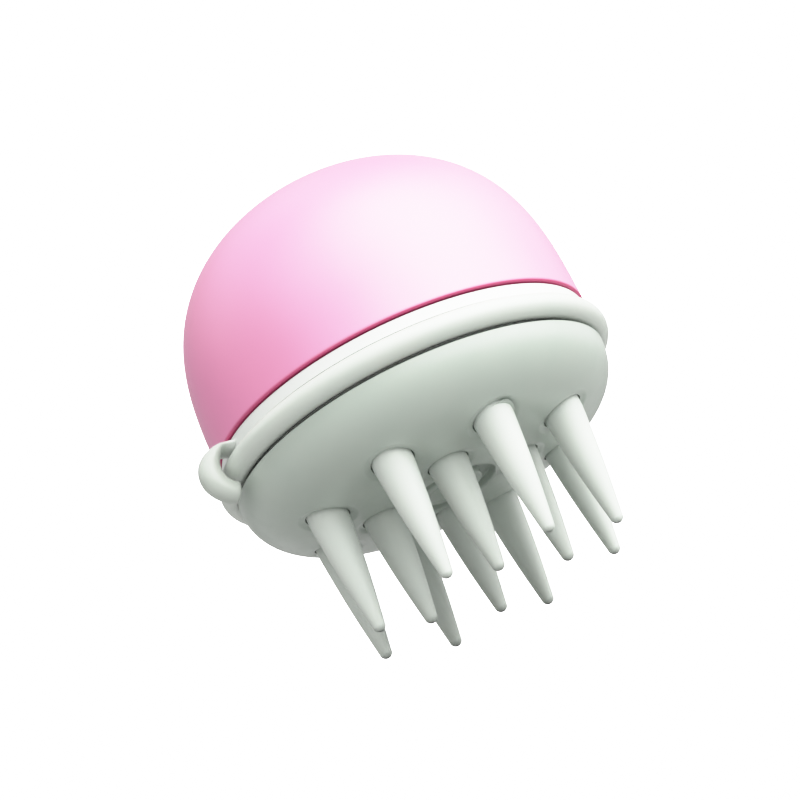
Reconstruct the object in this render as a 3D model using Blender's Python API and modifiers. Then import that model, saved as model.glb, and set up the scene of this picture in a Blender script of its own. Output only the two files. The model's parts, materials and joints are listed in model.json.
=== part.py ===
"""Scalp massager brush: a domed palm brush with twelve rocking pins and an elastic strap ring.

Units are metres and +Z is up, along the brush axis. The origin is the centre of the hub cap's
flat outer face, on the underside of the head. The strap hook is on the -X side. Heights called
"above the seam" are measured from the seam plane, where the head meets the collar.
"""

import math

import bmesh
import bpy
from mathutils import Matrix, Vector

MM = 0.001
GAP = 0.3 * MM  # space left between two neighbours that rest on each other
MERGE = 0.00001  # weld distance for turned shapes
ROUND_STEPS = 36  # facets round the large turned pieces

# Driving dimensions
SEAM_HEIGHT = 13.6 * MM  # seam plane above the origin
HEAD_RADIUS = 38.0 * MM
HEAD_DEPTH = 13.8 * MM  # seam plane down to the lowest point of the head
HEAD_WALL = 2.4 * MM
BOWL_POWER = 0.893  # below 1 the head is fuller than an ellipsoid
RECESS_RADIUS = 9.1 * MM
RECESS_FLOOR = 1.7 * MM  # height of the hub recess floor above the origin

DOME_RADIUS = 38.4 * MM
DOME_EDGE = 7.9 * MM  # dome edge above the seam
DOME_HEIGHT = 45.1 * MM
DOME_POWER = 3.14  # above 2 the dome is fuller than an ellipsoid
DOME_WALL = 2.2 * MM

RING_RADIUS = 38.05 * MM  # centreline of the strap ring
RING_TUBE = 2.35 * MM
RING_HEIGHT = 2.55 * MM  # centreline above the seam

OUTER_PINS = 8
OUTER_PIN_RADIUS = 25.8 * MM
INNER_PINS = 4
INNER_PIN_RADIUS = 14.0 * MM
INNER_PIN_TURN = math.radians(67.5)
PIN_TIP = -22.1 * MM  # rest plane of the pin tips
PIN_BASE_RADIUS = 3.85 * MM
PIN_TIP_RADIUS = 1.25 * MM
PIN_HOLE_RADIUS = 4.3 * MM
PIN_PIVOT_BEHIND_FACE = 2.0 * MM
PIN_FLANGE_RADIUS = 5.3 * MM
PIN_FLANGE_LOW = SEAM_HEIGHT - 5.8 * MM
PIN_FLANGE_THICK = 1.5 * MM

INSERT_RADIUS = 31.9 * MM  # cushion and backing plate
CUSHION_LOW = SEAM_HEIGHT - 3.3 * MM
CUSHION_THICK = 2.6 * MM
PLATE_THICK = 1.8 * MM
PLATE_LOW = CUSHION_LOW + CUSHION_THICK + GAP

POST_COUNT = 4
POST_CIRCLE = 19.0 * MM
POST_TURN = math.radians(22.5)
POST_RADIUS = 2.8 * MM
HUB_POST_RADIUS = 5.5 * MM

CENTRE_SCREW_RADIUS = 1.45 * MM
CENTRE_HOLE_RADIUS = 1.8 * MM
COUNTERBORE_RADIUS = 4.6 * MM
COUNTERBORE_TOP = 5.7 * MM

# Colours: linear base colour, roughness
MATERIALS = {
    "pink_shell": ((0.86, 0.36, 0.56), 0.30),
    "mint_shell": ((0.66, 0.71, 0.66), 0.36),
    "mint_rubber": ((0.70, 0.74, 0.69), 0.48),
    "mint_soft": ((0.68, 0.73, 0.68), 0.44),
    "foam": ((0.35, 0.37, 0.36), 0.90),
    "black_rubber": ((0.03, 0.035, 0.03), 0.60),
    "nylon": ((0.55, 0.57, 0.55), 0.50),
    "zinc": ((0.62, 0.63, 0.64), 0.30),
}
METALS = ("zinc",)


def clear_scene():
    for obj in list(bpy.data.objects):
        bpy.data.objects.remove(obj, do_unlink=True)


def new_collection(name):
    collection = bpy.data.collections.new(name)
    bpy.context.scene.collection.children.link(collection)
    return collection


def new_material(name):
    colour, roughness = MATERIALS[name]
    material = bpy.data.materials.new(name)
    material.use_nodes = True
    shader = material.node_tree.nodes["Principled BSDF"]
    shader.inputs["Base Color"].default_value = (*colour, 1.0)
    shader.inputs["Roughness"].default_value = roughness
    shader.inputs["Metallic"].default_value = 1.0 if name in METALS else 0.0
    return material


def add_object(name, mesh, collection, material=None):
    obj = bpy.data.objects.new(name, mesh)
    collection.objects.link(obj)
    if material is not None:
        mesh.materials.clear()
        mesh.materials.append(material)
    return obj


# Turned shapes


def profile_mesh(name, profile, closed):
    """A chain of (radius, height) points in the XZ plane, ready for a Screw modifier."""
    mesh = bpy.data.meshes.new(name)
    points = [(radius, 0.0, height) for radius, height in profile]
    edges = [(i, i + 1) for i in range(len(points) - 1)]
    if closed:
        edges.append((len(points) - 1, 0))
    mesh.from_pydata(points, edges, [])
    return mesh


def add_turn(obj, steps):
    screw = obj.modifiers.new("turn", "SCREW")
    screw.axis = "Z"
    screw.angle = 2.0 * math.pi
    screw.steps = steps
    screw.render_steps = steps
    screw.use_merge_vertices = True
    screw.merge_threshold = MERGE
    screw.use_smooth_shade = True


def turned(name, profile, steps, collection, material, closed=False):
    """A solid of revolution. The profile runs top to bottom down its outer side."""
    obj = add_object(name, profile_mesh(name, profile, closed), collection, material)
    add_turn(obj, steps)
    return obj


def arc(centre, radius, start_deg, end_deg, segments):
    points = []
    for i in range(segments + 1):
        angle = math.radians(start_deg + (end_deg - start_deg) * i / segments)
        points.append((centre[0] + radius * math.cos(angle), centre[1] + radius * math.sin(angle)))
    return points


def dome_curve(radius, height, segments):
    """The dome's section from its edge towards its crown, above the dome's edge plane."""
    spread = 1.25  # above 1 the points crowd towards the edge
    points = []
    for i in range(segments + 1):
        angle = 0.5 * math.pi * (i / segments) ** spread
        points.append((radius * math.cos(angle), height * math.sin(angle) ** (2.0 / DOME_POWER)))
    return points


def bowl_height(radius):
    """Height of the head's outer face above the origin at a distance from the axis."""
    angle = math.acos((radius / HEAD_RADIUS) ** 2)
    return SEAM_HEIGHT - HEAD_DEPTH * math.sin(angle) ** BOWL_POWER


# Cutters and joins


def cylinders_mesh(name, cylinders, segments):
    """Separate upright cylinders in one mesh, each given as (x, y, radius, low, high)."""
    bm = bmesh.new()
    for x, y, radius, low, high in cylinders:
        bmesh.ops.create_cone(
            bm,
            cap_ends=True,
            segments=segments,
            radius1=radius,
            radius2=radius,
            depth=high - low,
            matrix=Matrix.Translation((x, y, 0.5 * (low + high))),
        )
    mesh = bpy.data.meshes.new(name)
    bm.to_mesh(mesh)
    bm.free()
    return mesh


def add_cutter(name, mesh, collection):
    cutter = add_object(name, mesh, collection)
    cutter.hide_render = True
    cutter.display_type = "WIRE"
    return cutter


def combine(target, other, operation):
    boolean = target.modifiers.new(other.name, "BOOLEAN")
    boolean.operation = operation
    boolean.solver = "EXACT"
    boolean.object = other


def ring_places(count, radius, turn=0.0):
    """Centres of pieces spaced evenly round the axis, as (x, y, azimuth)."""
    places = []
    for i in range(count):
        azimuth = turn + 2.0 * math.pi * i / count
        places.append((radius * math.cos(azimuth), radius * math.sin(azimuth), azimuth))
    return places


OUTER_PLACES = ring_places(OUTER_PINS, OUTER_PIN_RADIUS)
INNER_PLACES = ring_places(INNER_PINS, INNER_PIN_RADIUS, INNER_PIN_TURN)
POST_PLACES = ring_places(POST_COUNT, POST_CIRCLE, POST_TURN)


# Handle


def build_dome(parts, materials):
    """A hollow shell with a central post that takes the long assembly screw."""
    edge = SEAM_HEIGHT + DOME_EDGE
    post_radius = 4.6 * MM
    post_low = SEAM_HEIGHT + 8.2 * MM
    bore_radius = 1.75 * MM
    bore_top = post_low + 12.0 * MM
    lip = 0.35 * MM

    outside = [(r, edge + z) for r, z in dome_curve(DOME_RADIUS, DOME_HEIGHT, 13)]
    inside = [
        (r, edge + z)
        for r, z in dome_curve(DOME_RADIUS - DOME_WALL, DOME_HEIGHT - DOME_WALL, 10)
        if r > post_radius
    ]
    profile = [(0.0, outside[-1][1])]
    profile += outside[-2:0:-1]
    profile += [(DOME_RADIUS, edge + lip), (DOME_RADIUS - lip, edge)]
    profile += inside
    profile += [
        (post_radius, inside[-1][1] + 1.5 * MM),
        (post_radius, post_low),
        (bore_radius, post_low),
        (bore_radius, bore_top),
        (0.0, bore_top),
    ]
    turned("dome_shell", profile, ROUND_STEPS, parts, materials["pink_shell"])


def hook_sections():
    """The hook as (x, height, half thickness, half width), from inside the rim to its free end."""
    root_height = SEAM_HEIGHT + 6.5 * MM
    root_thick, root_wide = 0.9 * MM, 2.6 * MM
    belly = 2.4 * MM
    taper = 0.25 * MM
    reach, drop = 5.65 * MM, 4.9 * MM
    centre_height = SEAM_HEIGHT + 2.3 * MM
    start_deg, belly_deg, end_deg = 65.0, -15.0, -66.0
    bends = 9

    sections = [
        (-(HEAD_RADIUS - 1.6 * MM), root_height, root_thick, root_wide + 0.5 * MM),
        (-(HEAD_RADIUS + 0.3 * MM), root_height, root_thick, root_wide + 0.2 * MM),
    ]
    for i in range(bends + 1):
        angle_deg = start_deg + (end_deg - start_deg) * i / bends
        angle = math.radians(angle_deg)
        swell = math.sin(0.5 * math.pi * min(1.0, (start_deg - angle_deg) / (start_deg - belly_deg)))
        thin = taper * max(0.0, (belly_deg - angle_deg) / (belly_deg - end_deg))
        x = -(RING_RADIUS + reach * math.cos(angle))
        height = centre_height + drop * math.sin(angle)
        thick = root_thick + (belly - root_thick) * swell - thin
        wide = root_wide + (belly - root_wide) * swell - thin
        sections.append((x, height, thick, wide))
    return sections


def hook_mesh():
    """The strap hook: a C of elliptic section that leaves the rim and curls under the strap ring."""
    sides = 12
    sections = hook_sections()
    centres = [Vector((x, 0.0, height)) for x, height, _, _ in sections]
    across = Vector((0.0, 1.0, 0.0))
    bm = bmesh.new()
    loops = []
    for i, (_, _, thick, wide) in enumerate(sections):
        ahead = centres[min(i + 1, len(centres) - 1)]
        behind = centres[max(i - 1, 0)]
        along = (ahead - behind).normalized()
        frame = Matrix((across.cross(along), across, along)).transposed().to_4x4()
        matrix = Matrix.Translation(centres[i]) @ frame @ Matrix.Diagonal((thick, wide, 1.0, 1.0))
        loops.append(bmesh.ops.create_circle(bm, segments=sides, radius=1.0, matrix=matrix)["verts"])
    for low, high in zip(loops, loops[1:]):
        for k in range(sides):
            after = (k + 1) % sides
            bm.faces.new((low[k], low[after], high[after], high[k]))
    for end in (loops[0], loops[-1]):
        bm.faces.new(end)
    bmesh.ops.recalc_face_normals(bm, faces=bm.faces)
    mesh = bpy.data.meshes.new("strap_hook")
    bm.to_mesh(mesh)
    bm.free()
    return mesh


def build_collar(parts, cutters, materials):
    """The rim under the dome, the strap ring's seat, the screw web and two locating spigots."""
    rim_top = SEAM_HEIGHT + DOME_EDGE - GAP
    rim_low = SEAM_HEIGHT + RING_HEIGHT + RING_TUBE + GAP
    round_off = 0.3 * MM
    upper_radius, upper_bore = 35.8 * MM, 33.6 * MM
    upper_top = SEAM_HEIGHT + 12.2 * MM
    lower_radius, lower_bore = 34.7 * MM, 32.4 * MM
    lower_low = SEAM_HEIGHT - 3.2 * MM
    web_low, web_top = SEAM_HEIGHT + 3.4 * MM, SEAM_HEIGHT + 5.6 * MM
    hub_radius, hub_top = 5.0 * MM, SEAM_HEIGHT + 7.9 * MM

    seat = arc((RING_RADIUS, SEAM_HEIGHT + RING_HEIGHT), RING_TUBE + GAP, 90.0, 230.0, 7)
    profile = [
        (upper_radius, upper_top),
        (upper_radius, rim_top),
        (HEAD_RADIUS - round_off, rim_top),
        (HEAD_RADIUS, rim_top - round_off),
        (HEAD_RADIUS, rim_low),
    ]
    profile += seat
    profile += [
        (lower_radius, seat[-1][1]),
        (lower_radius, lower_low),
        (lower_bore, lower_low),
        (lower_bore, web_low),
        (CENTRE_HOLE_RADIUS, web_low),
        (CENTRE_HOLE_RADIUS, hub_top),
        (hub_radius, hub_top),
        (hub_radius, web_top),
        (upper_bore, web_top),
        (upper_bore, upper_top),
    ]
    collar = turned("collar", profile, ROUND_STEPS, parts, materials["mint_shell"], closed=True)
    hook = add_cutter("strap_hook", hook_mesh(), cutters)
    combine(collar, hook, "UNION")


def build_strap_ring(parts, materials):
    """An elastic cord ring. Its parent empty is on the swing axis, where the cord meets the hook."""
    bm = bmesh.new()
    bmesh.ops.create_circle(bm, segments=12, radius=RING_TUBE)
    to_section = Matrix.Translation((RING_RADIUS, 0.0, 0.0)) @ Matrix.Rotation(math.pi / 2.0, 4, "X")
    bmesh.ops.transform(bm, matrix=to_section, verts=bm.verts)
    mesh = bpy.data.meshes.new("strap_ring")
    bm.to_mesh(mesh)
    bm.free()
    ring = add_object("strap_ring", mesh, parts, materials["mint_rubber"])
    add_turn(ring, 48)

    pivot = bpy.data.objects.new("strap_ring_pivot", None)
    parts.objects.link(pivot)
    pivot.location = (-RING_RADIUS, 0.0, SEAM_HEIGHT + RING_HEIGHT)
    ring.parent = pivot
    ring.location = (RING_RADIUS, 0.0, 0.0)


# Head


def head_profile():
    """The bowl: outer face, hub recess, counterbore, hub post, inner face and rebated rim."""
    rim = SEAM_HEIGHT - 0.5 * MM
    chamfer = 0.3 * MM
    rebate_radius, rebate_floor = 36.5 * MM, SEAM_HEIGHT - 1.7 * MM
    bore = 35.2 * MM
    bore_low = SEAM_HEIGHT - 3.6 * MM
    inner_floor = SEAM_HEIGHT - HEAD_DEPTH + HEAD_WALL
    recess_ceiling = RECESS_FLOOR + 2.2 * MM
    recess_wall = RECESS_RADIUS + 1.6 * MM
    hub_post_top = SEAM_HEIGHT + 3.1 * MM

    profile = [(rebate_radius, rim), (HEAD_RADIUS - chamfer, rim), (HEAD_RADIUS, rim - chamfer)]
    bowl_start, bowl_end, bowl_steps = 10.0, 86.5, 8
    for i in range(bowl_steps + 1):
        angle = math.radians(bowl_start + (bowl_end - bowl_start) * i / bowl_steps)
        radius = HEAD_RADIUS * math.sqrt(math.cos(angle))
        if radius > RECESS_RADIUS + chamfer:
            profile.append((radius, bowl_height(radius)))
    profile += [
        (RECESS_RADIUS + chamfer, bowl_height(RECESS_RADIUS)),
        (RECESS_RADIUS, bowl_height(RECESS_RADIUS) + chamfer),
        (RECESS_RADIUS, RECESS_FLOOR),
        (COUNTERBORE_RADIUS, RECESS_FLOOR),
        (COUNTERBORE_RADIUS, COUNTERBORE_TOP),
        (CENTRE_HOLE_RADIUS, COUNTERBORE_TOP),
        (CENTRE_HOLE_RADIUS, hub_post_top),
        (HUB_POST_RADIUS, hub_post_top),
        (HUB_POST_RADIUS + 1.4 * MM, COUNTERBORE_TOP),
        (HUB_POST_RADIUS + 1.4 * MM, recess_ceiling),
        (recess_wall, recess_ceiling),
        (recess_wall + 1.0 * MM, inner_floor),
    ]
    inner_steps = 6
    for i in range(inner_steps + 1):
        angle = 0.5 * math.pi * (1.0 - i / inner_steps)
        radius = bore * math.cos(angle) ** (2.0 / 3.0)
        if radius > recess_wall + 2.0 * MM:
            depth = (bore_low - inner_floor) * math.sin(angle) ** BOWL_POWER
            profile.append((radius, bore_low - depth))
    profile += [(bore, rebate_floor), (rebate_radius, rebate_floor)]
    return profile


def build_head(parts, cutters, materials):
    head = turned("head_shell", head_profile(), ROUND_STEPS, parts, materials["mint_shell"], closed=True)
    post_low, post_top = 2.0 * MM, PLATE_LOW - GAP
    below_head = -2.0 * MM
    pilot_radius, pilot_low = 1.5 * MM, post_top - 7.0 * MM
    posts = [(x, y, POST_RADIUS, post_low, post_top) for x, y, _ in POST_PLACES]
    combine(head, add_cutter("head_posts", cylinders_mesh("head_posts", posts, 12), cutters), "UNION")
    holes = [
        (x, y, PIN_HOLE_RADIUS, below_head, PIN_FLANGE_LOW)
        for x, y, _ in OUTER_PLACES + INNER_PLACES
    ]
    pin_holes = add_cutter("pin_holes", cylinders_mesh("pin_holes", holes, 18), cutters)
    combine(head, pin_holes, "DIFFERENCE")
    pilots = [(x, y, pilot_radius, pilot_low, post_top + MM) for x, y, _ in POST_PLACES]
    pilot_holes = add_cutter("pilot_holes", cylinders_mesh("pilot_holes", pilots, 10), cutters)
    combine(head, pilot_holes, "DIFFERENCE")


def build_insert(name, low, thick, post_hole, parts, cutters, material):
    """A round sheet behind the pins, with clearance for the hub post and the screw posts."""
    hub_hole = HUB_POST_RADIUS + 1.3 * MM
    profile = [
        (INSERT_RADIUS, low + thick),
        (INSERT_RADIUS, low),
        (hub_hole, low),
        (hub_hole, low + thick),
    ]
    sheet = turned(name, profile, ROUND_STEPS, parts, material, closed=True)
    margin = 1.0 * MM
    holes = [(x, y, post_hole, low - margin, low + thick + margin) for x, y, _ in POST_PLACES]
    cutter = add_cutter(name + "_holes", cylinders_mesh(name + "_holes", holes, 12), cutters)
    combine(sheet, cutter, "DIFFERENCE")


def build_seal(parts, materials):
    """The dark O-ring in the rebate between the head's rim and the collar."""
    radius, height, tube = 35.6 * MM, SEAM_HEIGHT - 0.75 * MM, 0.55 * MM
    section = arc((radius, height), tube, 90.0, -225.0, 7)
    turned("seal_ring", section, ROUND_STEPS, parts, materials["black_rubber"], closed=True)


# Pins


def pin_profile(pivot_height):
    """Flange, neck, shank and bellied taper down to a blunt tip, seen from the pivot."""
    face = pivot_height - PIN_PIVOT_BEHIND_FACE
    neck_low = pivot_height + 0.6 * MM
    tip_centre = PIN_TIP + PIN_TIP_RADIUS
    flange_top = PIN_FLANGE_LOW + PIN_FLANGE_THICK
    neck_radius = 3.1 * MM
    profile = [
        (0.0, flange_top),
        (PIN_FLANGE_RADIUS, flange_top),
        (PIN_FLANGE_RADIUS, PIN_FLANGE_LOW),
        (neck_radius, PIN_FLANGE_LOW),
        (neck_radius, neck_low),
        (PIN_BASE_RADIUS, pivot_height),
    ]
    rings = 4
    for i in range(rings + 1):
        t = i / rings
        belly = 0.22 * MM * math.sin(math.pi * t)
        radius = PIN_BASE_RADIUS + (PIN_TIP_RADIUS - PIN_BASE_RADIUS) * t + belly
        profile.append((radius, face + (tip_centre - face) * t))
    flat = 0.45 * MM
    profile += [
        (0.8 * PIN_TIP_RADIUS, tip_centre - 0.66 * PIN_TIP_RADIUS),
        (flat, PIN_TIP),
        (0.0, PIN_TIP),
    ]
    return [(radius, height - pivot_height) for radius, height in profile]


def build_pins(prefix, places, parts, material):
    """Each pin's origin is its pivot, and its local Y axis is the axis it rocks about."""
    distance = math.hypot(places[0][0], places[0][1])
    pivot_height = bowl_height(distance) + PIN_PIVOT_BEHIND_FACE
    mesh = profile_mesh(prefix, pin_profile(pivot_height), False)
    for number, (x, y, azimuth) in enumerate(places, start=1):
        pin = add_object(f"{prefix}_{number}", mesh, parts, material)
        pin.location = Vector((x, y, pivot_height))
        pin.rotation_euler = (0.0, 0.0, azimuth)
        add_turn(pin, 14)


# Hub and fasteners


def build_hub(parts, cutters, materials):
    """The cap that closes the hub recess, the washer, and the long screw into the dome."""
    cap_radius, cap_thick = 6.4 * MM, RECESS_FLOOR - GAP
    spigot_radius, spigot_top = 4.2 * MM, 2.5 * MM
    edge = 0.35 * MM
    cap = [
        (0.0, spigot_top),
        (spigot_radius, spigot_top),
        (spigot_radius, cap_thick),
        (cap_radius, cap_thick),
        (cap_radius, edge),
        (cap_radius - edge, 0.0),
        (0.0, 0.0),
    ]
    turned("hub_cap", cap, 24, parts, materials["mint_shell"])

    washer_top = COUNTERBORE_TOP - GAP
    washer_low = washer_top - 0.6 * MM
    washer = [
        (4.2 * MM, washer_top),
        (4.2 * MM, washer_low),
        (CENTRE_HOLE_RADIUS, washer_low),
        (CENTRE_HOLE_RADIUS, washer_top),
    ]
    turned("centre_washer", washer, 20, parts, materials["zinc"], closed=True)

    head_top = washer_low - GAP
    shank_top = SEAM_HEIGHT + 18.0 * MM
    build_screw(
        "centre_screw",
        shank=(CENTRE_SCREW_RADIUS, head_top, shank_top),
        head=(3.0 * MM, head_top - 1.5 * MM, head_top),
        points_up=True,
        place=(0.0, 0.0),
        parts=parts,
        cutters=cutters,
        material=materials["zinc"],
    )


def build_screw(name, shank, head, points_up, place, parts, cutters, material):
    """A pan-head screw with a cross recess. Shank and head are (radius, low, high)."""
    shank_radius, shank_low, shank_high = shank
    head_radius, head_low, head_high = head
    bevel = 0.3 * MM
    if points_up:
        profile = [
            (0.0, shank_high),
            (0.4 * shank_radius, shank_high),
            (shank_radius, shank_high - 1.5 * shank_radius),
            (shank_radius, head_high),
            (head_radius, head_high),
            (head_radius, head_low + bevel),
            (head_radius - bevel, head_low),
            (0.0, head_low),
        ]
        slot_height = head_low
    else:
        profile = [
            (0.0, head_high),
            (head_radius - bevel, head_high),
            (head_radius, head_high - bevel),
            (head_radius, head_low),
            (shank_radius, head_low),
            (shank_radius, shank_low + 1.5 * shank_radius),
            (0.4 * shank_radius, shank_low),
            (0.0, shank_low),
        ]
        slot_height = head_high
    screw = turned(name, profile, 12, parts, material)
    screw.location = (place[0], place[1], 0.0)

    bm = bmesh.new()
    blade, depth = 0.5 * MM, 1.0 * MM
    for length, width in ((1.2 * head_radius, blade), (blade, 1.2 * head_radius)):
        scale = Matrix.Diagonal((length, width, depth, 1.0))
        bmesh.ops.create_cube(bm, size=1.0, matrix=scale)
    mesh = bpy.data.meshes.new(name + "_cross")
    bm.to_mesh(mesh)
    bm.free()
    cross = add_cutter(name + "_cross", mesh, cutters)
    cross.location = (place[0], place[1], slot_height)
    combine(screw, cross, "DIFFERENCE")
    screw.modifiers[-1].use_self = True


def build_plate_screws(parts, cutters, materials):
    head_low = PLATE_LOW + PLATE_THICK + GAP
    for number, (x, y, _) in enumerate(POST_PLACES, start=1):
        build_screw(
            f"plate_screw_{number}",
            shank=(1.2 * MM, head_low - 7.5 * MM, head_low),
            head=(2.4 * MM, head_low, head_low + 1.1 * MM),
            points_up=False,
            place=(x, y),
            parts=parts,
            cutters=cutters,
            material=materials["zinc"],
        )


def main():
    clear_scene()
    parts = new_collection("scalp_massager_brush")
    cutters = new_collection("cutters")
    materials = {name: new_material(name) for name in MATERIALS}
    build_dome(parts, materials)
    build_collar(parts, cutters, materials)
    build_strap_ring(parts, materials)
    build_head(parts, cutters, materials)
    build_seal(parts, materials)
    build_insert("cushion_pad", CUSHION_LOW, CUSHION_THICK, POST_RADIUS + 0.4 * MM, parts, cutters,
                 materials["foam"])
    build_insert("backing_plate", PLATE_LOW, PLATE_THICK, 1.6 * MM, parts, cutters,
                 materials["nylon"])
    build_pins("pin_outer", OUTER_PLACES, parts, materials["mint_soft"])
    build_pins("pin_inner", INNER_PLACES, parts, materials["mint_soft"])
    build_hub(parts, cutters, materials)
    build_plate_screws(parts, cutters, materials)


main()
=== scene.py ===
"""Looks of the scalp massager brush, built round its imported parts.

Units are metres and +Z is up, along the brush axis. Each piece is turned, lofted or cut to the
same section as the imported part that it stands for, with finer segments and rounded edges.
"""

import json
import math

import bmesh
import bpy
from mathutils import Matrix, Quaternion, Vector

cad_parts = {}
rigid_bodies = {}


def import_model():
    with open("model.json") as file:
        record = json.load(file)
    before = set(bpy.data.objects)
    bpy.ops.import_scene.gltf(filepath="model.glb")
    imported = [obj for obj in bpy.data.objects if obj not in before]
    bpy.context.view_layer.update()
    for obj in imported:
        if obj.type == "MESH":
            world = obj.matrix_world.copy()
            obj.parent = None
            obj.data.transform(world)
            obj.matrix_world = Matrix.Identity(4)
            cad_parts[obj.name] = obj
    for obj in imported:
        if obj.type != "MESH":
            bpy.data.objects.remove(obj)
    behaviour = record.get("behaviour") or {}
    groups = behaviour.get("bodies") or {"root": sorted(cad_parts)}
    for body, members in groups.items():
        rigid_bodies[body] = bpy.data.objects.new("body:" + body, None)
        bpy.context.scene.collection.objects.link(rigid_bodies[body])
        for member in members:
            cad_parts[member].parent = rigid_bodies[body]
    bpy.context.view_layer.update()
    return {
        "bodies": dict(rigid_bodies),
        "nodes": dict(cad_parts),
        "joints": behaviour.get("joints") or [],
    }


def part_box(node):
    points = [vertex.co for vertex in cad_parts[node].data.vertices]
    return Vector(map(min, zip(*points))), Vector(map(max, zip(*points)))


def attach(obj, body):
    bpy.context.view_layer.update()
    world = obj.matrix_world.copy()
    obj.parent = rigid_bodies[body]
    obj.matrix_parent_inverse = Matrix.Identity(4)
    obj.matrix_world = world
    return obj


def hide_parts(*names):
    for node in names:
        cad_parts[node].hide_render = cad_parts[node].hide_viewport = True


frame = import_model()

MM = 0.001
GAP = 0.3 * MM  # clearance between neighbouring pieces
MERGE = 0.002 * MM  # points of a turned piece closer than this become one
TURN_STEPS = 192  # sides of a turned piece

# Places and sizes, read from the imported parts

JOINTS = {joint["name"]: joint for joint in frame["joints"]}
SWING = Vector(JOINTS["strap_swing"]["pos_m"])
RING_RADIUS = -SWING.x
RING_LEVEL = SWING.z
RING_TUBE = 0.5 * (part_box("strap_ring")[1].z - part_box("strap_ring")[0].z)

DOME_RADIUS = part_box("dome_shell")[1].x
DOME_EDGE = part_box("dome_shell")[0].z
DOME_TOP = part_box("dome_shell")[1].z
DOME_POWER = 3.14  # 2 would make the dome's section an ellipse

COLLAR_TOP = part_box("collar")[1].z
COLLAR_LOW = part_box("collar")[0].z

HEAD_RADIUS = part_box("head_shell")[1].x
HEAD_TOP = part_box("head_shell")[1].z
SEAM = HEAD_TOP - 3.1 * MM  # the plane where head and collar meet
HEAD_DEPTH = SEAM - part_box("head_shell")[0].z
HEAD_POWER = 0.893  # the lower it is, the more squarely the bowl turns up at its rim
RECESS_RADIUS = 9.1 * MM
RECESS_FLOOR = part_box("hub_cap")[0].z + 1.7 * MM

PINS = [body for body in frame["bodies"] if body.startswith("pin_")]
PIN_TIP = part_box("pin_outer_1")[0].z
PIN_FLANGE_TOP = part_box("pin_outer_1")[1].z
PIN_FLANGE_LOW = PIN_FLANGE_TOP - 1.5 * MM
PIN_HOLE_RADIUS = 4.15 * MM

PLATE_SCREWS = [f"plate_screw_{i}" for i in range(1, 5)]


# Mesh helpers


def arc(centre, radius, start_deg, end_deg, segments):
    """Points on a circle in the section plane, as (radius, height)."""
    points = []
    for i in range(segments + 1):
        angle = math.radians(start_deg + (end_deg - start_deg) * i / segments)
        points.append((centre[0] + radius * math.cos(angle), centre[1] + radius * math.sin(angle)))
    return points


def circle(centre, radius, segments):
    """A whole round section, from its top and clockwise."""
    return arc(centre, radius, 90.0, -270.0, segments)[:-1]


def rounded(points, segments=5, closed=False):
    """A section whose corners given as (r, z, rounding) become arcs tangent to both sides."""
    result = []
    count = len(points)
    for i, point in enumerate(points):
        rounding = point[2] if len(point) > 2 else 0.0
        inner = closed or 0 < i < count - 1
        if not rounding or not inner:
            result.append((point[0], point[1]))
            continue
        corner = Vector(point[:2])
        before = Vector(points[i - 1][:2]) - corner
        after = Vector(points[(i + 1) % count][:2]) - corner
        half = 0.5 * before.angle(after)
        reach = min(rounding / math.tan(half), 0.48 * before.length, 0.48 * after.length)
        start = corner + before.normalized() * reach
        end = corner + after.normalized() * reach
        weight = math.sin(half)
        for k in range(segments + 1):
            s = k / segments
            a, b, c = (1 - s) ** 2, 2 * s * (1 - s) * weight, s * s
            place = (start * a + corner * b + end * c) / (a + b + c)
            result.append((place.x, place.y))
    return result


def profile_mesh(name, profile, closed):
    mesh = bpy.data.meshes.new(name)
    edges = [(i, i + 1) for i in range(len(profile) - 1)]
    if closed:
        edges.append((len(profile) - 1, 0))
    mesh.from_pydata([(r, 0.0, z) for r, z in profile], edges, [])
    return mesh


def new_object(name, mesh):
    obj = bpy.data.objects.new(name, mesh)
    bpy.context.scene.collection.objects.link(obj)
    return obj


def turned(name, profile, steps=TURN_STEPS, closed=False):
    """A solid of revolution. The profile runs top to bottom down its outer side."""
    obj = new_object(name, profile_mesh(name, profile, closed))
    screw = obj.modifiers.new("turn", "SCREW")
    screw.steps = steps
    screw.render_steps = steps
    screw.use_merge_vertices = True
    screw.merge_threshold = MERGE
    return obj


def lofted_mesh(name, rings):
    """A closed tube through rings of points, with flat ends."""
    bm = bmesh.new()
    loops = [[bm.verts.new(place) for place in ring] for ring in rings]
    for low, high in zip(loops, loops[1:]):
        for k in range(len(low)):
            after = (k + 1) % len(low)
            bm.faces.new((low[k], low[after], high[after], high[k]))
    bm.faces.new(loops[0])
    bm.faces.new(loops[-1])
    bmesh.ops.recalc_face_normals(bm, faces=bm.faces)
    mesh = bpy.data.meshes.new(name)
    bm.to_mesh(mesh)
    bm.free()
    return mesh


def combine(target, cutter, operation):
    boolean = target.modifiers.new(cutter.name, "BOOLEAN")
    boolean.operation = operation
    boolean.solver = "EXACT"
    boolean.object = cutter


def finish_piece(obj, body, nodes, material, sharp_deg=40.0, cutters=()):
    """Applies the modifiers, smooths the shading and hands the piece to its body."""
    bpy.context.view_layer.update()
    depsgraph = bpy.context.evaluated_depsgraph_get()
    mesh = bpy.data.meshes.new_from_object(obj.evaluated_get(depsgraph))
    obj.modifiers.clear()
    obj.data = mesh
    for cutter in cutters:
        bpy.data.objects.remove(cutter, do_unlink=True)
    mesh.shade_smooth()
    mesh.set_sharp_from_angle(angle=math.radians(sharp_deg))
    weighted = obj.modifiers.new("weighted normals", "WEIGHTED_NORMAL")
    weighted.keep_sharp = True
    mesh.materials.clear()
    mesh.materials.append(material)
    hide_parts(*nodes)
    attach(obj, body)
    return obj


# Materials


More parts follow.
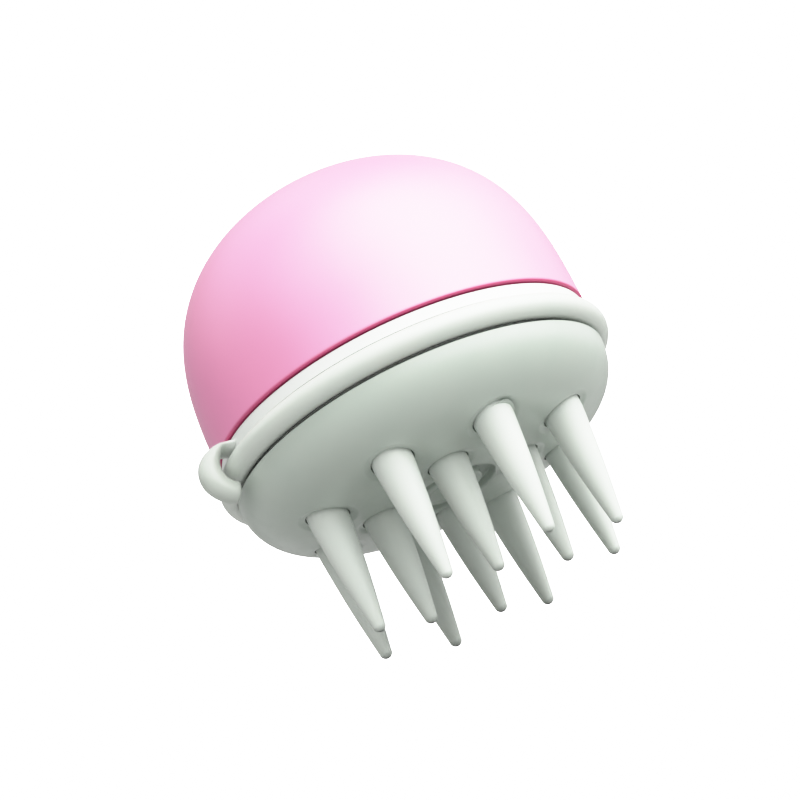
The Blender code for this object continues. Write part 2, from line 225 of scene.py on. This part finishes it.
class Nodes:
    """Short calls for building one material's node tree."""

    def __init__(self, name):
        self.material = bpy.data.materials.new(name)
        self.material.use_nodes = True
        self.tree = self.material.node_tree
        self.shader = self.tree.nodes["Principled BSDF"]
        self.place = self.add("ShaderNodeTexCoord").outputs["Object"]

    def add(self, kind, **settings):
        node = self.tree.nodes.new(kind)
        for key, value in settings.items():
            setattr(node, key, value)
        return node

    def link(self, source, target):
        self.tree.links.new(source, target)

    def set(self, name, value):
        socket = self.shader.inputs[name]
        if hasattr(value, "is_output"):
            self.link(value, socket)
        else:
            socket.default_value = value

    def noise(self, size, detail=3.0, roughness=0.55):
        """Noise whose grains are about size metres across."""
        node = self.add("ShaderNodeTexNoise")
        node.inputs["Scale"].default_value = 1.0 / size
        node.inputs["Detail"].default_value = detail
        node.inputs["Roughness"].default_value = roughness
        self.link(self.place, node.inputs["Vector"])
        return node.outputs["Fac"]

    def ranged(self, value, low, high, to_low, to_high):
        """Carries low..high over to to_low..to_high and holds the ends beyond them."""
        node = self.add("ShaderNodeMapRange")
        node.clamp = True
        self.link(value, node.inputs["Value"])
        ends = {"From Min": low, "From Max": high, "To Min": to_low, "To Max": to_high}
        for key, number in ends.items():
            node.inputs[key].default_value = number
        return node.outputs["Result"]

    def mixed(self, factor, first, second):
        """A colour between first and second, each a socket or an (r, g, b).

        A Mix node's colours are its inputs 6 and 7 and its output 2.
        """
        node = self.add("ShaderNodeMix", data_type="RGBA")
        self.link(factor, node.inputs["Factor"])
        for key, value in ((6, first), (7, second)):
            if hasattr(value, "is_output"):
                self.link(value, node.inputs[key])
            else:
                node.inputs[key].default_value = (*value, 1.0)
        return node.outputs[2]

    def maths(self, operation, first, second):
        node = self.add("ShaderNodeMath", operation=operation)
        for socket, value in zip(node.inputs, (first, second)):
            if hasattr(value, "is_output"):
                self.link(value, socket)
            else:
                socket.default_value = value
        return node.outputs[0]

    def height(self):
        node = self.add("ShaderNodeSeparateXYZ")
        self.link(self.place, node.inputs[0])
        return node.outputs["Z"]

    def from_axis(self):
        """Distance from the brush axis."""
        flat = self.add("ShaderNodeVectorMath", operation="MULTIPLY")
        self.link(self.place, flat.inputs[0])
        flat.inputs[1].default_value = (1.0, 1.0, 0.0)
        length = self.add("ShaderNodeVectorMath", operation="LENGTH")
        self.link(flat.outputs[0], length.inputs[0])
        return length.outputs["Value"]

    def edges(self, width):
        """About 1 on convex and concave edges and 0 on open surfaces."""
        bevel = self.add("ShaderNodeBevel", samples=4)
        bevel.inputs["Radius"].default_value = width
        normal = self.add("ShaderNodeNewGeometry").outputs["Normal"]
        dot = self.add("ShaderNodeVectorMath", operation="DOT_PRODUCT")
        self.link(bevel.outputs[0], dot.inputs[0])
        self.link(normal, dot.inputs[1])
        flat, sharp = 0.999, 0.93
        return self.ranged(dot.outputs["Value"], flat, sharp, 0.0, 1.0)

    def bump(self, *layers):
        """Stacks (height, distance, strength) layers of bump."""
        normal = None
        for height, distance, strength in layers:
            node = self.add("ShaderNodeBump")
            node.inputs["Distance"].default_value = distance
            node.inputs["Strength"].default_value = strength
            self.link(height, node.inputs["Height"])
            if normal is not None:
                self.link(normal, node.inputs["Normal"])
            normal = node.outputs["Normal"]
        self.set("Normal", normal)


def moulded_plastic(name, colour, shade, roughness, grain=0.25, soft=0.0, polish=0.0, outer=None):
    """Satin moulded plastic: faint mottling, spark-eroded grain, handling smears, edge wear.

    What stands out beyond the rim, such as the hook, takes the outer colour where one is given, a
    darker tone that is painted shade.
    """
    mottle_size, patch_size, smear_size = 9.0 * MM, 3.0 * MM, 6.0 * MM
    grain_size, ripple_size = 0.18 * MM, 5.0 * MM
    worn_width, worn_paler, worn_rougher = 0.35 * MM, 1.08, 0.2
    hook_shade_start, hook_shade_end = HEAD_RADIUS + 0.6 * MM, HEAD_RADIUS + 2.0 * MM

    n = Nodes(name)
    mottle = n.ranged(n.noise(mottle_size), 0.35, 0.65, 0.0, 1.0)
    patches = n.ranged(n.noise(patch_size), 0.45, 0.75, 0.0, 0.5)
    wear = n.maths("MULTIPLY", n.edges(worn_width), patches)
    tone = n.mixed(mottle, colour, shade)
    # Painted shade: past the head's rim the colour fades to the darker outer tone.
    if outer:
        tone = n.mixed(n.ranged(n.from_axis(), hook_shade_start, hook_shade_end, 0.0, 1.0), tone, outer)
    paler = tuple(min(1.0, c * worn_paler) for c in colour)
    n.set("Base Color", n.mixed(wear, tone, paler))
    smears = n.ranged(n.noise(smear_size, 5.0, 0.65), 0.35, 0.7, roughness - 0.04, roughness + 0.07)
    n.set("Roughness", n.maths("ADD", smears, n.maths("MULTIPLY", wear, worn_rougher)))
    n.set("Coat Weight", polish)
    n.set("Coat IOR", 1.7)
    n.set("Coat Roughness", smears)
    n.set("Subsurface Weight", soft)
    n.set("Subsurface Radius", (1.0, 1.0, 1.0))
    n.set("Subsurface Scale", 0.8 * MM)
    n.bump(
        (n.noise(grain_size, 2.0), 0.004 * MM, grain),
        (n.noise(ripple_size, 1.0), 0.03 * MM, 0.25),
    )
    return n.material


def pearl_pink():
    """Pink shell under a satin pearl lacquer, darkened to raspberry along the lip as painted shade,
    where its coat is thinned too.
    """
    pink, deeper_pink = (0.96, 0.275, 0.55), (0.935, 0.26, 0.54)
    painted_lip_shade = (0.60, 0.05, 0.19)
    cloud_size, flake_size, smear_size, ripple_size = 14.0 * MM, 0.12 * MM, 8.0 * MM, 7.0 * MM
    lip_shade_full, lip_shade_end = 0.15 * MM, 0.7 * MM

    n = Nodes("pearl_pink")
    body = n.mixed(n.ranged(n.noise(cloud_size), 0.3, 0.7, 0.0, 1.0), pink, deeper_pink)
    # Painted shade: near the dome's lower edge the pink turns raspberry and the coat is thinned.
    above = n.maths("SUBTRACT", n.height(), DOME_EDGE)
    lip = n.ranged(above, lip_shade_full, lip_shade_end, 1.0, 0.0)
    n.set("Base Color", n.mixed(lip, body, painted_lip_shade))
    flakes = n.noise(flake_size, 1.0)
    n.set("Roughness", n.ranged(n.noise(smear_size, 5.0, 0.6), 0.3, 0.7, 0.40, 0.48))
    n.set("Coat Weight", n.ranged(lip, 0.0, 1.0, 1.0, 0.2))
    n.set("Coat IOR", 2.7)
    n.set("Coat Roughness", n.ranged(flakes, 0.3, 0.7, 0.36, 0.46))
    n.set("Coat Tint", (1.0, 0.93, 0.97, 1.0))
    n.bump((flakes, 0.003 * MM, 0.2), (n.noise(ripple_size, 1.0), 0.04 * MM, 0.2))
    return n.material


def black_rubber():
    """Matt black rubber with a faint bloom."""
    n = Nodes("seal_rubber")
    # The near-black is partly the seal's own colour and partly painted shade for the dark seam gap it
    # fills.
    n.set("Base Color", n.mixed(n.noise(2.0 * MM), (0.020, 0.022, 0.015), (0.036, 0.038, 0.028)))
    n.set("Roughness", n.ranged(n.noise(1.0 * MM), 0.3, 0.7, 0.55, 0.75))
    n.bump((n.noise(0.2 * MM), 0.01 * MM, 0.4))
    return n.material


def foam_pad():
    """Closed-cell foam, with painted shade darkening its cell hollows."""
    cell_size = 0.6 * MM
    n = Nodes("foam_pad")
    cells = n.add("ShaderNodeTexVoronoi", feature="F1")
    cells.inputs["Scale"].default_value = 1.0 / cell_size
    n.link(n.place, cells.inputs["Vector"])
    depth = cells.outputs["Distance"]
    # Painted shade: each cell is darker towards its hollow centre and paler at its walls.
    cell_pit_shade = n.ranged(depth, 0.1, 0.7, 0.0, 1.0)
    n.set("Base Color", n.mixed(cell_pit_shade, (0.24, 0.26, 0.25), (0.42, 0.44, 0.43)))
    n.set("Roughness", n.ranged(n.noise(2.0 * MM), 0.3, 0.7, 0.82, 0.95))
    n.bump((depth, 0.08 * MM, 0.6))
    return n.material


def glass_filled_nylon():
    """Off-white nylon with short glass fibres that show as streaks."""
    n = Nodes("glass_filled_nylon")
    streaks = n.add("ShaderNodeTexNoise")
    stretch = n.add("ShaderNodeMapping")
    stretch.inputs["Scale"].default_value = (900.0, 160.0, 160.0)
    n.link(n.place, stretch.inputs["Vector"])
    n.link(stretch.outputs[0], streaks.inputs["Vector"])
    n.set("Base Color", n.mixed(streaks.outputs["Fac"], (0.50, 0.52, 0.50), (0.62, 0.63, 0.60)))
    n.set("Roughness", n.ranged(streaks.outputs["Fac"], 0.3, 0.7, 0.45, 0.62))
    n.bump((streaks.outputs["Fac"], 0.01 * MM, 0.4))
    return n.material


def zinc_plate():
    """Zinc-plated steel with fine turning marks and a little clouding."""
    mark_size = 0.4 * MM
    n = Nodes("zinc_plate")
    cloud = n.noise(1.5 * MM, 4.0)
    n.set("Base Color", n.mixed(cloud, (0.52, 0.53, 0.55), (0.72, 0.73, 0.74)))
    n.set("Metallic", 1.0)
    n.set("Roughness", n.ranged(cloud, 0.3, 0.7, 0.24, 0.40))
    marks = n.add("ShaderNodeTexWave", wave_type="RINGS", rings_direction="Z")
    marks.inputs["Scale"].default_value = 1.0 / mark_size
    n.link(n.place, marks.inputs["Vector"])
    n.bump((marks.outputs["Fac"], 0.003 * MM, 0.3))
    return n.material


MINT = moulded_plastic("mint_plastic", (0.515, 0.575, 0.52), (0.50, 0.565, 0.51), 0.36, polish=1.0)
# A paler copy of the mint plastic: painted light on the rim band, with painted shade in the hook's
# darker outer tone.
MINT_LIT_RIM_SHADED_HOOK = moulded_plastic(
    "mint_lit_rim_shaded_hook",
    (0.86, 0.88, 0.86),
    (0.84, 0.87, 0.85),
    0.36,
    polish=0.5,
    outer=(0.56, 0.60, 0.555),
)
MINT_SOFT = moulded_plastic(
    "mint_pin_elastomer", (0.74, 0.78, 0.735), (0.725, 0.77, 0.73), 0.40, grain=0.2, soft=0.15
)
MINT_RUBBER = moulded_plastic(
    "mint_strap_rubber", (0.70, 0.74, 0.69), (0.68, 0.73, 0.68), 0.34, grain=0.2, soft=0.1, polish=0.5
)
PEARL_PINK = pearl_pink()
SEAL_RUBBER = black_rubber()
FOAM = foam_pad()
NYLON = glass_filled_nylon()
ZINC = zinc_plate()


# Handle


def dome_curve(radius, height, segments, spread):
    """The dome's section from its edge towards its crown, above the dome's edge plane."""
    points = []
    for i in range(segments + 1):
        angle = 0.5 * math.pi * (i / segments) ** spread
        points.append((radius * math.cos(angle), height * math.sin(angle) ** (2.0 / DOME_POWER)))
    return points


def build_dome():
    """The pink palm shell, with its rounded lip and the post that takes the long screw."""
    wall = 2.2 * MM
    post_radius, bore_radius = 4.6 * MM, 1.75 * MM
    post_low = SEAM + 8.2 * MM
    bore_top = post_low + 12.0 * MM
    lip = 0.45 * MM
    height = DOME_TOP - DOME_EDGE

    outside = dome_curve(DOME_RADIUS, height, segments=72, spread=1.6)
    inside = dome_curve(DOME_RADIUS - wall, height - wall, segments=40, spread=1.4)
    inside = [point for point in inside if point[0] > post_radius + MM]
    profile = [(r, DOME_EDGE + z) for r, z in reversed(outside) if z > lip or r < 0.5 * DOME_RADIUS]
    profile += rounded(
        [
            profile[-1],
            (DOME_RADIUS, DOME_EDGE, lip),
            (DOME_RADIUS - wall, DOME_EDGE, 0.3 * MM),
            (inside[1][0], DOME_EDGE + inside[1][1]),
        ]
    )[1:]
    profile += [(r, DOME_EDGE + z) for r, z in inside[2:]]
    profile += rounded(
        [
            profile[-1],
            (post_radius, profile[-1][1] + 0.8 * MM, 1.0 * MM),
            (post_radius, post_low, 0.2 * MM),
            (bore_radius, post_low, 0.15 * MM),
            (bore_radius, bore_top, 0.2 * MM),
            (0.0, bore_top),
        ]
    )[1:]
    dome = turned("dome", profile)
    finish_piece(dome, "brush_body", ["dome_shell"], PEARL_PINK)


def hook_stations():
    """The hook's centre line in the XZ plane, as (x, z, half thickness, half width)."""
    root_level = SEAM + 6.5 * MM
    root_thick, root_wide = 0.95 * MM, 3.0 * MM
    buried, shown = HEAD_RADIUS - 1.6 * MM, HEAD_RADIUS - 0.4 * MM
    buried_flare, shown_flare = 0.6 * MM, 0.45 * MM
    belly, taper = 2.4 * MM, 0.25 * MM
    reach, drop = 5.6 * MM, 4.9 * MM
    middle_level = SEAM + 2.3 * MM
    start_deg, belly_deg, end_deg = 65.0, -15.0, -64.0
    bends = 40

    stations = [
        (-buried, root_level, root_thick, root_wide + buried_flare),
        (-shown, root_level, root_thick, root_wide + shown_flare),
    ]
    for i in range(bends + 1):
        angle_deg = start_deg + (end_deg - start_deg) * i / bends
        angle = math.radians(angle_deg)
        grow = min(1.0, (start_deg - angle_deg) / (start_deg - belly_deg))
        swell = math.sin(0.5 * math.pi * grow)
        thin = taper * max(0.0, (belly_deg - angle_deg) / (belly_deg - end_deg))
        x = -(RING_RADIUS + reach * math.cos(angle))
        z = middle_level + drop * math.sin(angle)
        thick = root_thick + (belly - root_thick) * swell - thin
        wide = root_wide + (belly - root_wide) * swell - thin
        stations.append((x, z, thick, wide))
    return stations


def hook_mesh():
    """A loft through ellipses across the centre line, with a rounded free end."""
    sides = 40
    end_round = 0.6 * MM
    end_steps = 5
    stations = hook_stations()
    centres = [Vector((x, 0.0, z)) for x, z, _, _ in stations]
    tangents = []
    for i in range(len(centres)):
        before, after = centres[max(i - 1, 0)], centres[min(i + 1, len(centres) - 1)]
        tangents.append((after - before).normalized())
    sections = [(c, t, s[2], s[3]) for c, t, s in zip(centres, tangents, stations)]
    centre, tangent, thick, wide = sections[-1]
    for k in range(1, end_steps + 1):
        angle = 0.5 * math.pi * k / end_steps
        shrink = end_round * (1.0 - math.cos(angle))
        tip = centre + tangent * end_round * math.sin(angle)
        sections.append((tip, tangent, thick - shrink, wide - shrink))
    across = Vector((0.0, 1.0, 0.0))
    rings = []
    for centre, tangent, thick, wide in sections:
        outward = tangent.cross(across)
        ring = []
        for k in range(sides):
            angle = 2.0 * math.pi * k / sides
            ring.append(centre + outward * thick * math.cos(angle) + across * wide * math.sin(angle))
        rings.append(ring)
    return lofted_mesh("strap_hook", rings)


def build_collar():
    """The rim, painted paler than the head as painted light, with the strap ring's seat, the screw
    web and the moulded strap hook.
    """
    rim_top = DOME_EDGE - GAP
    rim_low = RING_LEVEL + RING_TUBE + GAP
    edge = 0.3 * MM
    upper_radius, upper_bore = 35.8 * MM, 33.6 * MM
    lower_radius, lower_bore = 34.7 * MM, 32.4 * MM
    web_low, web_top = SEAM + 3.4 * MM, SEAM + 5.6 * MM
    hub_radius, hub_top, hole = 5.0 * MM, SEAM + 7.9 * MM, 1.8 * MM
    small = 0.25 * MM

    seat = arc((RING_RADIUS, RING_LEVEL), RING_TUBE + GAP, 90.0, 230.0, 36)
    profile = rounded(
        [
            (upper_radius, COLLAR_TOP, small),
            (upper_radius, rim_top, small),
            (HEAD_RADIUS, rim_top, edge),
            (HEAD_RADIUS, rim_low, edge),
            *seat,
            (lower_radius, seat[-1][1], small),
            (lower_radius, COLLAR_LOW, small),
            (lower_bore, COLLAR_LOW, small),
            (lower_bore, web_low, 0.5 * MM),
            (hole, web_low, small),
            (hole, hub_top, small),
            (hub_radius, hub_top, small),
            (hub_radius, web_top, 0.6 * MM),
            (upper_bore, web_top, 0.5 * MM),
            (upper_bore, COLLAR_TOP, small),
        ],
        closed=True,
    )
    collar = turned("rim_and_hook", profile, closed=True)
    hook = new_object("strap_hook", hook_mesh())
    combine(collar, hook, "UNION")
    finish_piece(collar, "brush_body", ["collar"], MINT_LIT_RIM_SHADED_HOOK, cutters=[hook])


def build_strap():
    """The elastic cord ring that the fingers slip under."""
    section = circle((RING_RADIUS, RING_LEVEL), RING_TUBE, segments=40)
    ring = turned("strap_cord", section, closed=True)
    finish_piece(ring, "strap", ["strap_ring"], MINT_RUBBER)


# Head


def bowl_height(radius):
    """Height of the head's outer face at a distance from the axis."""
    angle = math.acos(min(1.0, (radius / HEAD_RADIUS) ** 2))
    return SEAM - HEAD_DEPTH * math.sin(angle) ** HEAD_POWER


def head_profile():
    """The bowl's section: rim, outer face, hub recess, hub post, inner face and rebate."""
    rim = SEAM - 0.5 * MM
    wall = 2.4 * MM
    rebate_radius, rebate_floor = 36.5 * MM, SEAM - 1.7 * MM
    bore, bore_low = 35.2 * MM, SEAM - 3.6 * MM
    inner_floor = SEAM - HEAD_DEPTH + wall
    counterbore_radius, counterbore_top = 4.6 * MM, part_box("centre_washer")[1].z + GAP
    recess_ceiling, recess_wall = RECESS_FLOOR + 2.2 * MM, RECESS_RADIUS + 1.6 * MM
    hole, post_radius = 1.8 * MM, 5.5 * MM
    small = 0.2 * MM

    bowl = []
    steps, crowding = 56, 1.3
    first_deg, last_deg = 2.4, 86.5
    for i in range(steps + 1):
        angle = math.radians(first_deg + (last_deg - first_deg) * (i / steps) ** crowding)
        radius = HEAD_RADIUS * math.sqrt(math.cos(angle))
        if radius > RECESS_RADIUS + 0.8 * MM:
            bowl.append((radius, bowl_height(radius)))
    inner = []
    inner_steps = 24
    for i in range(inner_steps + 1):
        angle = 0.5 * math.pi * (1.0 - i / inner_steps)
        radius = bore * math.cos(angle) ** (2.0 / 3.0)
        if radius > recess_wall + 2.0 * MM:
            height = bore_low - (bore_low - inner_floor) * math.sin(angle) ** HEAD_POWER
            inner.append((radius, height))
    return rounded(
        [
            (rebate_radius, rim, small),
            (HEAD_RADIUS, rim, 0.35 * MM),
            *bowl,
            (RECESS_RADIUS, bowl_height(RECESS_RADIUS), 0.5 * MM),
            (RECESS_RADIUS, RECESS_FLOOR, 0.4 * MM),
            (counterbore_radius, RECESS_FLOOR, small),
            (counterbore_radius, counterbore_top, small),
            (hole, counterbore_top),
            (hole, HEAD_TOP, small),
            (post_radius, HEAD_TOP, small),
            (post_radius + 1.4 * MM, counterbore_top, 0.5 * MM),
            (post_radius + 1.4 * MM, recess_ceiling, 0.4 * MM),
            (recess_wall, recess_ceiling, 0.4 * MM),
            (recess_wall + 1.0 * MM, inner_floor, 0.4 * MM),
            *inner,
            (bore, rebate_floor, small),
            (rebate_radius, rebate_floor, small),
        ],
        closed=True,
    )


def pin_hole_mesh(x, y):
    """A cutter for one pin hole and the shallow dish that the pin's foot sits in."""
    sides = 72
    dish_width, dish_depth = 1.5 * MM, 0.45 * MM
    dish_steps = 10
    beyond, outside = 0.4 * MM, 0.3 * MM
    levels = [(PIN_HOLE_RADIUS + dish_width + beyond, -outside)]
    for k in range(dish_steps + 1):
        s = k / dish_steps
        depth = dish_depth * 0.5 * (1.0 - math.cos(math.pi * s))
        levels.append((PIN_HOLE_RADIUS + dish_width * (1.0 - s), depth))
    rings = []
    for radius, depth in levels:
        ring = []
        for k in range(sides):
            angle = 2.0 * math.pi * k / sides
            px, py = x + radius * math.cos(angle), y + radius * math.sin(angle)
            ring.append(Vector((px, py, bowl_height(math.hypot(px, py)) + depth)))
        rings.append(ring)
    rings.append([Vector((p.x, p.y, PIN_FLANGE_LOW)) for p in rings[-1]])
    return lofted_mesh("pin_hole", rings)


def cylinder(name, x, y, radius, low, high, segments=48):
    bm = bmesh.new()
    bmesh.ops.create_cone(
        bm,
        cap_ends=True,
        segments=segments,
        radius1=radius,
        radius2=radius,
        depth=high - low,
        matrix=Matrix.Translation((x, y, 0.5 * (low + high))),
    )
    mesh = bpy.data.meshes.new(name)
    bm.to_mesh(mesh)
    bm.free()
    return new_object(name, mesh)


def build_head():
    """The shallow bowl with twelve pin holes, a hub recess and four screw posts inside."""
    head = turned("head_bowl", head_profile(), closed=True)
    cutters = []
    post_radius, pilot_radius, pilot_depth = 2.8 * MM, 1.5 * MM, 7.0 * MM
    post_low, post_top = 2.0 * MM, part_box("backing_plate")[0].z - GAP
    for screw in PLATE_SCREWS:
        low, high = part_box(screw)
        x, y = 0.5 * (low.x + high.x), 0.5 * (low.y + high.y)
        post = cylinder("post", x, y, post_radius, post_low, post_top)
        combine(head, post, "UNION")
        pilot_low, pilot_high = post_top - pilot_depth, post_top + MM
        pilot = cylinder("pilot", x, y, pilot_radius, pilot_low, pilot_high, segments=32)
        combine(head, pilot, "DIFFERENCE")
        cutters += [post, pilot]
    for pin in PINS:
        x, y, _ = JOINTS[pin + "_rock"]["pos_m"]
        hole = new_object("pin_hole", pin_hole_mesh(x, y))
        combine(head, hole, "DIFFERENCE")
        cutters.append(hole)
    finish_piece(head, "brush_body", ["head_shell"], MINT, cutters=cutters)


def build_seal():
    """The dark O-ring in the gap between the head's rim and the collar."""
    low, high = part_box("seal_ring")
    tube = 0.5 * (high.z - low.z)
    section = circle((high.x - tube, 0.5 * (low.z + high.z)), tube, segments=20)
    seal = turned("o_ring", section, closed=True)
    finish_piece(seal, "brush_body", ["seal_ring"], SEAL_RUBBER)


# Pins


def pin_profile(pivot_level):
    """Flange, neck, rounded shoulder and a bellied taper down to a round tip."""
    face = pivot_level - 2.0 * MM
    base_radius, tip_radius = 3.85 * MM, 1.25 * MM
    neck_radius, flange_radius = 3.1 * MM, 5.3 * MM
    neck_low, shoulder = pivot_level + 1.9 * MM, pivot_level + 1.2 * MM
    belly = 0.22 * MM
    tip_centre = PIN_TIP + tip_radius
    small = 0.2 * MM
    rings = 28
    shank = []
    for i in range(rings + 1):
        t = i / rings
        radius = base_radius + (tip_radius - base_radius) * t + belly * math.sin(math.pi * t)
        shank.append((radius, face + (tip_centre - face) * t))
    lean = math.degrees(math.atan2(base_radius - tip_radius, face - tip_centre))
    tip = arc((0.0, tip_centre), tip_radius, -lean, -90.0, 12)
    profile = rounded(
        [
            (0.0, PIN_FLANGE_TOP),
            (flange_radius, PIN_FLANGE_TOP, small),
            (flange_radius, PIN_FLANGE_LOW, small),
            (neck_radius, PIN_FLANGE_LOW, small),
            (neck_radius, neck_low, 0.3 * MM),
            (base_radius, shoulder, 0.5 * MM),
            *shank,
        ]
    )
    profile += tip[1:]
    profile[-1] = (0.0, PIN_TIP)
    return [(r, z - pivot_level) for r, z in profile]


def build_pins():
    """Twelve soft pins, each with its origin on its own rocking axis."""
    for pin in PINS:
        place = Vector(JOINTS[pin + "_rock"]["pos_m"])
        obj = turned(pin + "_soft", pin_profile(place.z), steps=72)
        obj.location = place
        obj.rotation_euler = (0.0, 0.0, math.atan2(place.y, place.x))
        finish_piece(obj, pin, [pin], MINT_SOFT)


# Hub


def build_hub_cap():
    """The disc that plugs the hub recess, with a hairline groove round its face."""
    low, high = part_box("hub_cap")
    radius, face = high.x, low.z
    back = RECESS_FLOOR - GAP
    plug_radius = 4.2 * MM
    groove, groove_depth, small = radius - 1.6 * MM, 0.12 * MM, 0.1 * MM
    profile = rounded(
        [
            (0.0, high.z),
            (plug_radius, high.z, 0.15 * MM),
            (plug_radius, back, 0.15 * MM),
            (radius, back, 0.2 * MM),
            (radius, face, 0.4 * MM),
            (groove + 0.2 * MM, face, small),
            (groove, face + groove_depth, small),
            (groove - 0.3 * MM, face, small),
            (0.0, face),
        ]
    )
    cap = turned("hub_disc", profile, steps=128)
    finish_piece(cap, "brush_body", ["hub_cap"], MINT)


def finish_hidden_parts():
    """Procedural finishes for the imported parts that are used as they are."""
    finishes = {
        "cushion_pad": FOAM,
        "backing_plate": NYLON,
        "centre_washer": ZINC,
        "centre_screw": ZINC,
    }
    finishes.update((screw, ZINC) for screw in PLATE_SCREWS)
    for node, material in finishes.items():
        mesh = frame["nodes"][node].data
        mesh.materials.clear()
        mesh.materials.append(material)


# Studio


def build_floor():
    """A pale floor under the pin tips that hides nothing when it is seen from below.

    It throws less light back at the brush than its colour would, as the brush is held in the air.
    """
    radius = 3.0
    level = PIN_TIP - 0.05 * MM
    bm = bmesh.new()
    bmesh.ops.create_circle(bm, cap_ends=True, segments=96, radius=radius)
    bmesh.ops.translate(bm, vec=(0.0, 0.0, level), verts=bm.verts)
    mesh = bpy.data.meshes.new("floor")
    bm.to_mesh(mesh)
    bm.free()
    floor = new_object("floor", mesh)
    n = Nodes("pale_floor")
    seen = n.mixed(n.noise(0.4), (0.86, 0.86, 0.86), (0.88, 0.88, 0.88))
    thrown_back = (0.42, 0.42, 0.42)
    to_camera = n.add("ShaderNodeLightPath").outputs["Is Camera Ray"]
    n.set("Base Color", n.mixed(to_camera, thrown_back, seen))
    n.set("Roughness", n.ranged(n.noise(0.05), 0.3, 0.7, 0.75, 0.85))
    clear = n.add("ShaderNodeBsdfTransparent")
    mix = n.add("ShaderNodeMixShader")
    n.link(n.add("ShaderNodeNewGeometry").outputs["Backfacing"], mix.inputs["Fac"])
    n.link(n.shader.outputs[0], mix.inputs[1])
    n.link(clear.outputs[0], mix.inputs[2])
    n.link(mix.outputs[0], n.tree.nodes["Material Output"].inputs["Surface"])
    mesh.materials.append(n.material)


def orbit(target, azimuth_deg, elevation_deg, distance):
    """A place round the target. Azimuth 0 is in front (-Y) and grows towards +X."""
    azimuth, elevation = math.radians(azimuth_deg), math.radians(elevation_deg)
    away = Vector(
        (
            math.sin(azimuth) * math.cos(elevation),
            -math.cos(azimuth) * math.cos(elevation),
            math.sin(elevation),
        )
    )
    return target + away * distance


def add_glow(tree, azimuth_deg, elevation_deg, strength):
    """A soft patch of light on the studio's walls, about 60 degrees from its middle to its edge."""
    edge = 0.45  # cosine of the angle at which the patch has faded out
    place = tree.nodes.new("ShaderNodeTexCoord").outputs["Generated"]
    dot = tree.nodes.new("ShaderNodeVectorMath")
    dot.operation = "DOT_PRODUCT"
    dot.inputs[1].default_value = orbit(Vector(), azimuth_deg, elevation_deg, 1.0)
    tree.links.new(place, dot.inputs[0])
    fade = tree.nodes.new("ShaderNodeMapRange")
    fade.interpolation_type = "SMOOTHSTEP"
    fade.inputs["From Min"].default_value = edge
    fade.inputs["To Max"].default_value = strength
    tree.links.new(dot.outputs["Value"], fade.inputs["Value"])
    return fade.outputs["Result"]


def build_world():
    """White to the eye. As a light it is a dim room with large soft patches, brightest in front."""
    ambient = 0.06
    seen_strength = 4.0
    # azimuth and elevation in degrees, strength
    glows = [
        (-75.0, 65.0, 1.00),
        (-16.0, 26.0, 1.10),
        (24.0, 18.0, 1.75),
        (62.0, 18.0, 1.00),
        (35.0, -25.0, 0.52),
        (95.0, 52.0, 0.65),
        (140.0, 5.0, 0.30),
        (-160.0, 35.0, 0.24),
    ]
    world = bpy.data.worlds.new("studio")
    bpy.context.scene.world = world
    world.use_nodes = True
    tree = world.node_tree
    background = tree.nodes["Background"]
    background.inputs["Color"].default_value = (0.99, 1.0, 0.98, 1.0)
    total = None
    for glow in glows:
        add = tree.nodes.new("ShaderNodeMath")
        add.inputs[1].default_value = ambient
        tree.links.new(add_glow(tree, *glow), add.inputs[0])
        if total is not None:
            tree.links.new(total, add.inputs[1])
        total = add.outputs[0]
    tree.links.new(total, background.inputs["Strength"])
    seen = tree.nodes.new("ShaderNodeBackground")
    seen.inputs["Strength"].default_value = seen_strength
    seen.inputs["Color"].default_value = (1.0, 1.0, 1.0, 1.0)
    path = tree.nodes.new("ShaderNodeLightPath")
    mix = tree.nodes.new("ShaderNodeMixShader")
    tree.links.new(path.outputs["Is Camera Ray"], mix.inputs["Fac"])
    tree.links.new(background.outputs[0], mix.inputs[1])
    tree.links.new(seen.outputs[0], mix.inputs[2])
    tree.links.new(mix.outputs[0], tree.nodes["World Output"].inputs["Surface"])


def film_curve():
    """Highlights roll off smoothly, as on film, where a plain transform would clip them."""
    knee = 0.7
    brightest = 4.0
    below, above = 2, 13  # points on the straight part and on the roll-off
    view = bpy.context.scene.view_settings
    view.view_transform = "Standard"
    view.use_curve_mapping = True
    mapping = view.curve_mapping
    mapping.clip_max_x = brightest
    curve = mapping.curves[3]  # the one for all three channels
    curve.points[1].location = (brightest, 1.0)
    for i in range(1, below + 1):
        curve.points.new(0.35 * knee * i, 0.35 * knee * i)
    for i in range(above):
        light = knee + (brightest - knee) * (i / above) ** 2
        curve.points.new(light, 1.0 - (1.0 - knee) * math.exp(-(light - knee) / (1.0 - knee)))
    mapping.update()


def build_camera():
    """A long lens below and in front of the brush, tipped so that the dome leans left."""
    azimuth_deg, elevation_deg, roll_deg = -28.3, -19.6, 26.1
    distance = 0.4738
    target = Vector((-0.001, 0.0011, 0.0207))
    focal_length_mm = 111.6
    camera = bpy.data.cameras.new("camera")
    camera.lens = focal_length_mm
    camera.sensor_width = 36.0
    camera.clip_start = 0.01
    rig = bpy.data.objects.new("camera", camera)
    bpy.context.scene.collection.objects.link(rig)
    rig.location = orbit(target, azimuth_deg, elevation_deg, distance)
    level = (target - rig.location).to_track_quat("-Z", "Y")
    rig.rotation_mode = "QUATERNION"
    rig.rotation_quaternion = level @ Quaternion((0.0, 0.0, 1.0), -math.radians(roll_deg))
    bpy.context.scene.camera = rig


build_dome()
build_collar()
build_strap()
build_head()
build_seal()
build_pins()
build_hub_cap()
finish_hidden_parts()
build_floor()
build_world()
build_camera()
film_curve()
